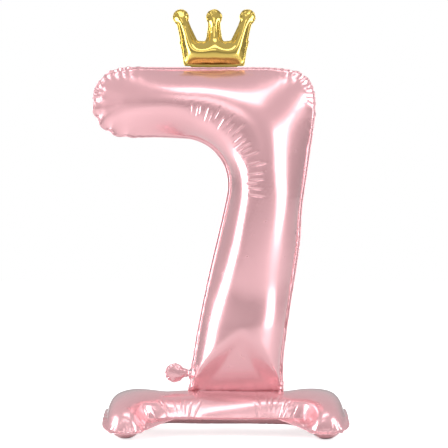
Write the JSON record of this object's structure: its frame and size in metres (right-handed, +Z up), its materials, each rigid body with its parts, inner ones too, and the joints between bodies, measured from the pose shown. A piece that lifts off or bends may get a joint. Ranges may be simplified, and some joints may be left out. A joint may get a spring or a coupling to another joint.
{
  "type": "standing foil number balloon",
  "caption": "Free-standing inflated foil balloon in the shape of a numeral, with a crown on top and a four-footed air-filled base, for party decoration.",
  "frame": {"origin": "on the floor, under the middle of the overall box", "axes": "+Z up along the numeral's height, -Y out of the front, +X to the viewer's right when the front is seen"},
  "size_m": [0.5007, 0.244, 0.84],
  "materials": {
    "pink_foil": "satin metallised film",
    "gold_foil": "mirror-bright metallised film",
    "clear_film": "clear film",
    "clear_tape": "clear adhesive tape"
  },
  "bodies": {
    "balloon": {"number_front_foil": "pink_foil", "number_back_foil": "pink_foil", "number_valve_front_film": "clear_film", "number_valve_back_film": "clear_film", "crown_front_foil": "gold_foil", "crown_back_foil": "gold_foil", "crown_valve_front_film": "clear_film", "crown_valve_back_film": "clear_film", "crown_tape": "clear_tape", "base_top_foil": "pink_foil", "base_bottom_foil": "pink_foil", "base_valve_upper_film": "clear_film", "base_valve_lower_film": "clear_film", "base_anchor_web_left": "pink_foil", "base_anchor_web_right": "pink_foil", "foot_tape_front": "clear_tape", "foot_tape_back": "clear_tape"},
    "number_tab": {"number_fill_tab": "pink_foil"},
    "crown_tab": {"crown_fill_tab": "gold_foil"},
    "base_tab": {"base_fill_tab": "pink_foil"}
  },
  "joints": [
    {"name": "number_tab_fold", "type": "hinge", "parent": "balloon", "child": "number_tab", "pos_m": [-0.063, 0, 0.12], "axis": [0, 0, 1], "range_deg": [-75, 75]},
    {"name": "crown_tab_fold", "type": "hinge", "parent": "balloon", "child": "crown_tab", "pos_m": [-0.01, 0.0044, 0.725], "axis": [1, 0, 0], "range_deg": [-20, 35]},
    {"name": "base_tab_fold", "type": "hinge", "parent": "balloon", "child": "base_tab", "pos_m": [0.013, 0.071, 0.0362], "axis": [1, 0, 0], "range_deg": [-30, 70]}
  ]
}
